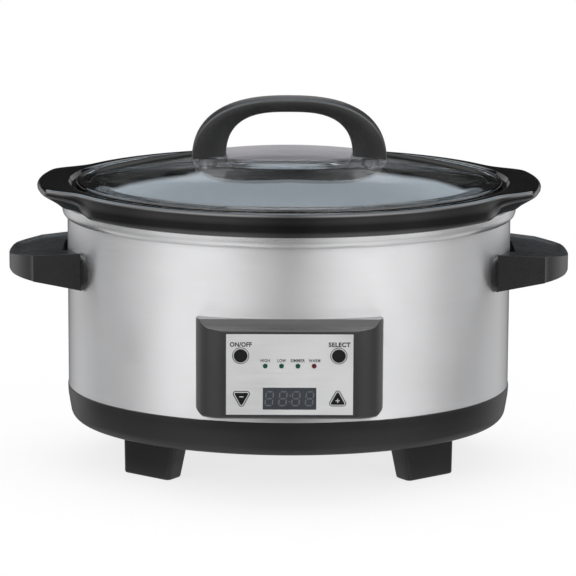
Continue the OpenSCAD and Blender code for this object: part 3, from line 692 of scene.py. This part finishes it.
arrow_x, arrow_z = middle("plus_button")[0], window_z
# The black rings round the round and arrow buttons are painted shade, standing for the shadow in the gap
# round each trim.
for name, x in (("onoff_line", -disc_x), ("select_line", disc_x)):
    gap_shade_ring(name, circle(x, disc_z, 5.65), circle(x, disc_z, 6.15))
for name, end in (("minus_line", -1), ("plus_line", 1)):
    x, z = end * arrow_x, arrow_z - end
    gap_shade_ring(name, triangle(x, z, 1.62, end), triangle(x, z, 2.12, end))
arrow_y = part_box("minus_button")[0][1] / MM
dash = ((-1.5, arrow_y - 0.02, -0.28), (1.5, arrow_y + 0.05, 0.28))
upright = ((-0.28, arrow_y - 0.02, -1.5), (0.28, arrow_y + 0.05, 1.5))
signs = (
    ("minus_sign", "minus", -arrow_x, arrow_z + 1.5, (dash,)),
    ("plus_sign", "plus", arrow_x, arrow_z - 1.2, (dash, upright)),
)
for name, button, x, z, bars in signs:
    moved = [tuple((a + x, b, c + z) for a, b, c in bar) for bar in bars]
    piece(name, *blocks(*moved), button, [], "button_black", pale_ink)

# ---------------------------------------------------------------- boards and wiring
# Behind the panel are the control board with its parts and switches, and in the base the power
# board, the terminal block and the sleeved leads. They are screwed to posts and show only when open.
dress(moulded("part_black", (0.02, 0.02, 0.022), 0.4, edge=0.2), "display_module", "control_parts")
dress(moulded("switch_black", (0.03, 0.03, 0.032), 0.35, edge=0.2), "tact_switches")
dress(moulded("board_green", (0.012, 0.1, 0.04), 0.3, 1.2, 0.02, 0.5), "control_board")
dress(moulded("board_brown", (0.16, 0.1, 0.03), 0.45, 0.8, 0.02, 0.4), "power_board")
dress(moulded("part_blue", (0.02, 0.03, 0.07), 0.3, edge=0.2), "power_parts")
dress(moulded("cable_grey", (0.5, 0.5, 0.53), 0.5, 1.0, 0.05), "ribbon_cable")
dress(moulded("lead_silicone", (0.25, 0.02, 0.015), 0.55, 0.8, 0.04, 0.3), "leads")
dress(moulded("terminal_ceramic", (0.72, 0.7, 0.62), 0.75, 0.6, 0.04, 0.1), "terminal_block")
dress(moulded("fuse_ceramic", (0.6, 0.56, 0.45), 0.7, 0.6, 0.04, 0.1), "thermal_fuse")
dress(moulded("gland_rubber", (0.02, 0.02, 0.02), 0.7, 0.8, 0.04), "cord_gland")
dress(zinc, "board_screws", "power_screws")
dress(strap_steel, "temp_sensor")

# ---------------------------------------------------------------- crock
# The cooking pot is heavy stoneware under a deep black glaze, slip-cast in one piece. Its rim hangs
# over the collar, carries the lid on an inner ledge, and widens into a lug at each end.
glaze, tree, shader = new_look("black_glaze", IOR=1.55, Coat_Weight=0.5, Coat_Roughness=0.02)
flow = noise(tree, 30, (1, 1, 1), 3)
pits = noise(tree, 2.2, (1, 1, 1), 2)
black = tint(tree, flow, (0.003, 0.003, 0.0033), (0.006, 0.006, 0.0062))
tree.links.new(black, shader.inputs["Base Color"])
tree.links.new(spread(tree, pits, 0.05, 0.1), shader.inputs["Roughness"])
waves = add(tree, "Bump", {"Height": flow, "Strength": 0.2, "Distance": 0.35 * MM}).outputs[0]
peel = {"Height": pits, "Strength": 0.25, "Distance": 0.02 * MM, "Normal": waves}
orange_peel = add(tree, "Bump", peel)
tree.links.new(orange_peel.outputs[0], shader.inputs["Normal"])
tree.links.new(orange_peel.outputs[0], shader.inputs["Coat Normal"])

crock_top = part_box("stoneware_crock")[1][2] / MM
crock_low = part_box("stoneware_crock")[0][2] / MM
lug_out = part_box("stoneware_crock")[1][0] / MM - HALF_WIDTH / MM
ledge = crock_top - 3.4
band_out = 6.6
lug_half, lug_blend = 36, 38


def ease(t):
    """0 below 0, 1 above 1 and smooth between."""
    t = min(1, max(0, t))
    return t * t * (3 - 2 * t)


def rim_section(angle):
    """The crock's section: outside, rim, ledge and inside, with the lug growing out at each end."""
    y = abs(oval(angle, 6 * MM)[1]) / MM
    lug = 1 - ease((y - lug_half) / lug_blend)
    top, low = crock_top, crock_low
    far = band_out + (lug_out - band_out) * lug
    foot_ring = [(-75, low + 1.4), (-50, low + 1.4), (-49, low), (-39, low), (-38, low + 0.6)]
    outer_wall = bend(-36.5, low + 19, 17, -90, 0, 8) + [(-17.2, top - 15)]
    band = [(4.5, top - 15), (4.6, top - 16.9), (4.9, top - 17.3), (5.5, top - 16.8), (6.0, top - 15.2)]
    band += [(6.3, top - 12.6), (6.52, top - 10), (6.64, top - 7.6), (6.65, top - 5.2)]
    band += bend(4.05, top - 2.6, 2.6, 0, 90, 7)
    ear = [(far - 14.5, top - 15), (far - 13.9, top - 14.6), (far - 13, top - 13.9), (far - 11, top - 12.2)]
    ear += [(far - 9.4, top - 11.2), (far - 8, top - 10.3), (far - 4, top - 7.9), (far - 1.2, top - 6.1)]
    ear += [(far - 0.2, top - 4.6)] + bend(far - 3.2, top - 3.2, 3.2, 0, 90, 7)
    step = [(-0.2, top), (-0.9, top - 0.2), (-1.5, top - 0.9), (-2, top - 2.2), (-3, top - 3.2)]
    seat = [(-5, ledge), (-20, ledge), (-21.4, ledge - 0.5), (-22, ledge - 2), (-24.5, ledge - 12)]
    basin = [(-27.3, low + 34)] + bend(-47.5, low + 30, 20, 0, -90, 8) + [(-75, low + 10)]
    return foot_ring + outer_wall + between(band, ear, lug) + step + seat + basin


piece("crock", *swept(rim_section, 360, capped=True), "crock", ["stoneware_crock"], "black_glaze", glaze)

# ---------------------------------------------------------------- lid glass
# The lid is a shallow dome of clear tempered glass, pressed to shape, with a rounded edge that
# rests on the crock's ledge. The handle's two screws pass through it on either side of the crown.
glass, tree, shader = new_look("clear_glass", Transmission_Weight=1.0, IOR=1.5, Roughness=0.0)
smear = noise(tree, 45, (1, 1, 1), 3)
tree.links.new(tint(tree, smear, (0.93, 0.95, 0.96), (0.97, 0.98, 0.985)), shader.inputs["Base Color"])
ripple = add(tree, "Bump", {"Height": smear, "Strength": 0.03, "Distance": 0.3 * MM})
tree.links.new(ripple.outputs[0], shader.inputs["Normal"])

lid_z = crock_top + 0.9
DOME_RISE = 21.4
DOME_OUT = -12.5
slopes = ((0, 0), (0.34, 0.146), (0.48, 0.27), (0.68, 0.275), (1, 0.19))


def fall(v):
    """How far the dome has dropped at v of the way from its crown to its front edge."""
    drop = 0
    for (v0, s0), (v1, s1) in zip(slopes, slopes[1:]):
        w = min(v, v1) - v0
        if w > 0:
            drop += w * (s0 + 0.5 * (s1 - s0) * w / (v1 - v0))
    return drop


def dome_z(x, y, thick=0.0):
    """Height of the dome's face, in mm, above the point x, y in mm.

    Along the oval it falls away as a parabola, and across it the crown is flatter, with steeper flanks.
    """
    fx = (x / (HALF_WIDTH / MM + DOME_OUT)) ** 2
    fy = (y / (HALF_DEPTH / MM + DOME_OUT)) ** 2
    f = math.sqrt(fx + fy)
    turned = fy / max(f * f, 1e-9)
    return lid_z + DOME_RISE * (1 - (1 - turned) * f * f - turned * fall(f) / fall(1)) - thick


def dome_rings(thick, steps=240):
    """Rings of the dome's face from its foot to near the crown."""
    rings = []
    shares = (1, 0.97, 0.93, 0.88, 0.82, 0.76, 0.7, 0.64, 0.58, 0.53)
    shares += (0.49, 0.45, 0.41, 0.37, 0.33, 0.28, 0.22, 0.14, 0.06)
    for f in shares:
        ring = []
        for k in range(steps):
            x, y = oval(2 * math.pi * k / steps, DOME_OUT * MM)
            x, y = x * f / MM, y * f / MM
            ring.append((x * MM, y * MM, dome_z(x, y, thick) * MM))
        rings.append(ring)
    return rings


def oval_ring(out, z, steps=240):
    """A level ring round the oval."""
    return [(*oval(2 * math.pi * k / steps, out * MM), z * MM) for k in range(steps)]


glass_thick = 3.9
edge = [(-14.5, lid_z - glass_thick), (-8.2, lid_z - glass_thick)]
edge += bend(-8.1, lid_z - 1.95, 1.95, -80, 80, 6) + [(-8.2, lid_z), (-11.6, lid_z + 0.05)]
skin = dome_rings(glass_thick)[:0:-1] + [oval_ring(out, z) for out, z in edge] + dome_rings(0)
piece("lid_glass", *loft(skin), "lid", ["lid_glass"], "clear_glass", glass, 60)

# ---------------------------------------------------------------- lid handle
# One black moulding arches over the lid. Its face is flat and its upper side gently crowned. Each
# leg stands on a thin gasket, and a screw through the glass, with a steel washer below, holds it.
arch_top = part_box("lid_handle")[1][2] / MM
arch_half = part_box("lid_handle")[1][0] / MM
arch_foot = 226


def arch(t, half, foot_z, top_z, power):
    """A point, t from 0 to 1, on a rounded arch from right to left."""
    a = math.pi * t
    c, s = math.cos(a), math.sin(a)
    return Vector((
        half * math.copysign(abs(c) ** (2 / power), c), 0, foot_z + (top_z - foot_z) * abs(s) ** (2 / power)
    ))


def handle_ring(t):
    """A cross-section of the handle: flat faces, rounded edges and a crowned outer side."""
    outer = arch(t, arch_half, arch_foot, arch_top, 2.45)
    inner = arch(t, arch_half - 25.6, arch_foot, arch_top - 9.9, 2.9)
    out = (outer - inner).normalized()
    thick = (outer - inner).length
    crown = ((12, 1.8), (11.7, 1.0), (10.9, 0.5), (8.5, 0.25), (4, 0.05), (0, 0))
    profile = [(-12, 2.0)] + [(-y, thick - d) for y, d in crown]
    profile += [(y, thick - d) for y, d in crown[-2::-1]]
    profile += [(12, 2.0), (11.5, 0.8), (10.4, 0.2), (7, 0), (-7, 0), (-10.4, 0.2), (-11.5, 0.8)]
    ring = []
    for y, d in profile:
        p = inner + out * d
        p.z = max(p.z, dome_z(p.x, y) + 0.2)
        ring.append((p.x * MM, y * MM, p.z * MM))
    return ring


places = [0.006 + 0.988 * (0.5 - 0.5 * math.cos(math.pi * i / 72)) for i in range(73)]
piece(
    "lid_handle", *loft([handle_ring(t) for t in places]),
    "lid", ["lid_handle"], "handle_plastic", handle_plastic, 40,
)
dress(moulded("gasket_rubber", (0.015, 0.015, 0.015), 0.6, 0.8, 0.03), "handle_gaskets")
dress(strap_steel, "lid_washers")
dress(zinc, "lid_screws")

# ---------------------------------------------------------------- floor
# A plain round sheet of pale card lies under the cooker. It fades into the white background away
# from the feet, and keeps the soft shadow near them.


def sheet(name, outline, look):
    """A flat sheet with that outline."""
    mesh = bpy.data.meshes.new(name)
    mesh.from_pydata(outline, [], [tuple(range(len(outline)))])
    mesh.materials.append(look)
    return put(name, mesh)


card, tree, shader = new_look("pale_card", Roughness=0.9)
white = tint(tree, noise(tree, 40), (0.93, 0.93, 0.93), (0.96, 0.96, 0.96))
tree.links.new(white, shader.inputs["Base Color"])
glow = add(tree, "Emission", {"Strength": 1.0})
place = add(tree, "TexCoord").outputs["Object"]
away = add(tree, "VectorMath", {0: place}, operation="LENGTH").outputs["Value"]
part = spread(tree, away, 0.78, 1.0, (0.12, 0.42))
seen = add(tree, "LightPath").outputs["Is Camera Ray"]
share = add(tree, "Math", {0: seen, 1: part}, operation="MULTIPLY")
both = add(tree, "MixShader", {0: share.outputs[0], 1: shader.outputs[0], 2: glow.outputs[0]})
tree.links.new(both.outputs[0], tree.nodes["Material Output"].inputs["Surface"])
floor_r = 1.3
turns = [2 * math.pi * k / 96 for k in range(96)]
floor = sheet("floor", [(floor_r * math.cos(a), floor_r * math.sin(a), 0) for a in turns], card)
floor.visible_glossy = False

# ---------------------------------------------------------------- light
# A white studio: large soft boxes to the left and right of the camera and one overhead, with
# an even fill. What shiny faces mirror is drawn in the world, and an oval card behind the lid
# is seen only in the glass.


def soft_box(name, place, wide, tall, power, target=(0, 0, 0.12)):
    """A rectangular light that faces the cooker."""
    data = bpy.data.lights.new(name, "AREA")
    data.shape = "RECTANGLE"
    data.size, data.size_y = wide, tall
    data.energy = power
    lamp = put(name, data)
    lamp.visible_glossy = False
    lamp.location = place
    lamp.rotation_euler = (Vector(target) - Vector(place)).to_track_quat("-Z", "Y").to_euler()


soft_box("box_left", (-2.0, -2.0, 1.0), 1.5, 2.6, 30)
soft_box("box_right", (2.0, -2.0, 1.0), 1.5, 2.6, 30)
soft_box("box_top", (0, 0.6, 2.4), 2.4, 1.6, 30)

paper, tree, shader = new_look("grey_reflector", Roughness=0.9)
shader.inputs["Emission Strength"].default_value = 1.0
grey = tint(tree, noise(tree, 40), (0.38, 0.37, 0.39), (0.41, 0.4, 0.42))
tree.links.new(grey, shader.inputs["Emission Color"])
shader.inputs["Base Color"].default_value = (0, 0, 0, 1)
turns = [math.pi * k / 32 for k in range(64)]
outline = [(0.08 * math.cos(a), 0.3, 0.274 + 0.106 * math.sin(a)) for a in turns]
reflector = sheet("reflector", outline, paper)
reflector.visible_camera = reflector.visible_diffuse = reflector.visible_shadow = False

world = bpy.data.worlds.new("studio")
bpy.context.scene.world = world
world.cycles.sampling_method = "NONE"
world.use_nodes = True
tree = world.node_tree
tree.nodes.clear()
way = add(tree, "SeparateXYZ", {0: add(tree, "TexCoord").outputs["Generated"]}).outputs


def sums(kind, a, b=0.0):
    """One step of arithmetic between node outputs or numbers."""
    return add(tree, "Math", {0: a, 1: b}, operation=kind).outputs[0]


def graph(degrees, points):
    """A level read off straight lines through (degrees, level) points."""
    low, high = points[0][0], points[-1][0]
    at = add(tree, "MapRange", {"Value": degrees, "From Min": low, "From Max": high}).outputs["Result"]
    ramp = add(tree, "ValToRGB", {"Fac": at})
    stops = ramp.color_ramp.elements
    while len(stops) < len(points):
        stops.new(0.5)
    top = max(level for place, level in points)
    for stop, (place, level) in zip(stops, points):
        stop.position = (place - low) / (high - low)
        stop.color = (level / top, level / top, level / top, 1)
    return sums("MULTIPLY", ramp.outputs["Color"], top)


height = sums("DEGREES", sums("ARCSINE", way["Z"]))
swing = sums("DEGREES", sums("ABSOLUTE", sums("ARCTAN2", way["X"], sums("MULTIPLY", way["Y"], -1.0))))

# in front: dim at the camera, white panels to both sides of it, brighter upwards
before = graph(swing, (
    (0, 0.5), (4, 0.54), (9, 0.72), (16, 1.0), (24, 1.32), (34, 1.42), (45, 1.32), (52, 1.37), (58, 1.31),
    (64, 1.12), (69, 0.96), (74, 0.82), (82, 0.8), (90, 0.82), (100, 0.98), (112, 1.25),
))
low_dark = graph(height, (
    (-90, 0.7), (-34, 0.75), (-24, 0.14), (-16, 0.14), (-12, 0.42), (-3, 0.32), (6, 1.1), (18, 1.3),
    (28, 2.9), (60, 2.9), (90, 1.5),
))
before = sums("MULTIPLY", before, low_dark)

# behind: dark to a wavy upper edge and white above it, with paler sides low down
rear = sums("SUBTRACT", 180.0, swing)
high_edge = graph(rear, ((0, 27.0), (2, 27.5), (5, 30.5), (7.5, 30.5), (10, 26.0), (12.5, 25.0), (30, 24.0)))
over = sums("SUBTRACT", height, high_edge)
low = graph(height, (
    (-90, 0.5), (-30, 0.4), (-14, 0.06), (-6, 0.04), (0, 0.08), (3, 0.08), (6, 0.02), (90, 0.02),
))
wide = graph(rear, ((0, 0.01), (14, 0.04), (22, 0.34), (46, 0.72), (100, 0.72)))
wide_low = graph(height, ((-90, 0.3), (-32, 0.35), (-17, 1), (6, 1), (11, 0.05), (90, 0.05)))
wide = sums("MULTIPLY", wide, wide_low)
high = graph(over, ((-121, 0.0), (-1, 0.0), (0.8, 1.35), (15, 1.6), (32, 1.4), (66, 1.0)))
behind = sums("MAXIMUM", sums("MAXIMUM", low, wide), high)
turn = graph(swing, ((0, 0), (105, 0), (130, 1), (180, 1)))
studio = add(tree, "Mix", {"Factor": turn, 2: before, 3: behind}).outputs[0]

# mirrored rays see that studio, straight ones a plain white, and all others an even fill
path = add(tree, "LightPath").outputs
bounced = sums("MINIMUM", path["Glossy Depth"], 1.0)
through = path["Is Transmission Ray"]
mirrored = sums("MAXIMUM", path["Is Glossy Ray"], sums("MULTIPLY", through, bounced))
straight = sums("MAXIMUM", path["Is Camera Ray"], sums("SUBTRACT", through, bounced))
level = add(tree, "Mix", {"Factor": mirrored, 2: 0.5, 3: studio}).outputs[0]
level = add(tree, "Mix", {"Factor": straight, 2: level, 3: 1.0}).outputs[0]
cool = sums("MULTIPLY", turn, graph(over, ((-121, 0), (-2, 0), (0, 1), (66, 1))))
cool = sums("MULTIPLY", cool, mirrored)
tones = {"Factor": cool, 6: (1, 1, 1, 1), 7: (0.8, 0.91, 1.0, 1)}
colour = add(tree, "Mix", tones, data_type="RGBA").outputs[2]
sky = add(tree, "Background", {"Color": colour, "Strength": level})
tree.links.new(sky.outputs[0], add(tree, "OutputWorld").inputs["Surface"])
bpy.context.scene.view_settings.view_transform = "Standard"
